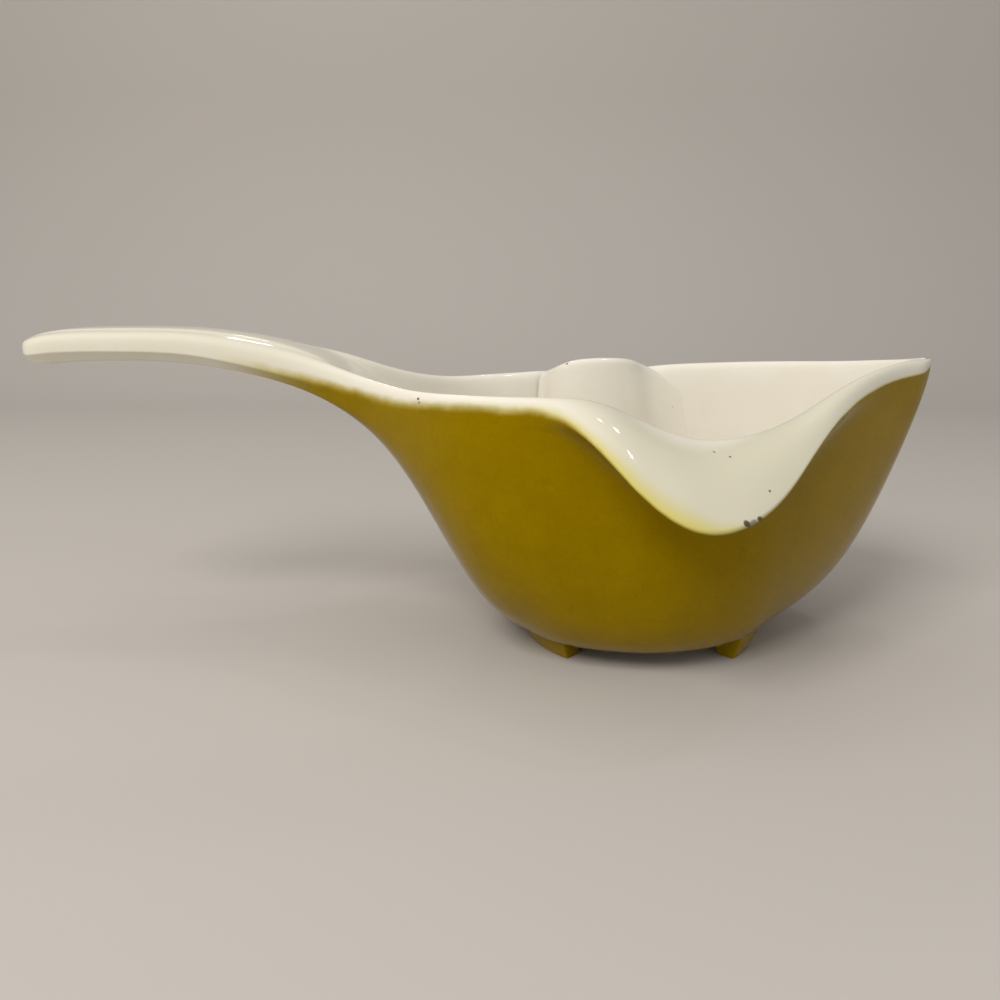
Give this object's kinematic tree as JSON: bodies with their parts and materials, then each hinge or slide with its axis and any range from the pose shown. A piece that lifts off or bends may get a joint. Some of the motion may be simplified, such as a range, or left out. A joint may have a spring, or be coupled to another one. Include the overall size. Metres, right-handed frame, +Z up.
{
  "type": "gravy fat separator",
  "caption": "Boat-shaped glazed gravy separator with a long ladle handle, a wide petal pouring lip and a dammed spout that draws from the bottom.",
  "frame": {"origin": "on the table, under the middle of the whole object's box", "axes": "+X along the handle towards the prow, +Y away from the petal lip towards the dammed spout, +Z up"},
  "size_m": [0.2976, 0.1514, 0.1052],
  "materials": {
    "bowl": "gloss glaze",
    "handle": "gloss glaze",
    "lean_dam": "gloss glaze",
    "foot_front_left": "gloss glaze",
    "foot_front_right": "gloss glaze",
    "foot_back_right": "gloss glaze",
    "foot_back_left": "gloss glaze"
  },
  "bodies": {
    "root": {"bowl": "bowl", "handle": "handle", "lean_dam": "lean_dam", "foot_front_left": "foot_front_left", "foot_front_right": "foot_front_right", "foot_back_right": "foot_back_right", "foot_back_left": "foot_back_left"}
  },
  "joints": []
}
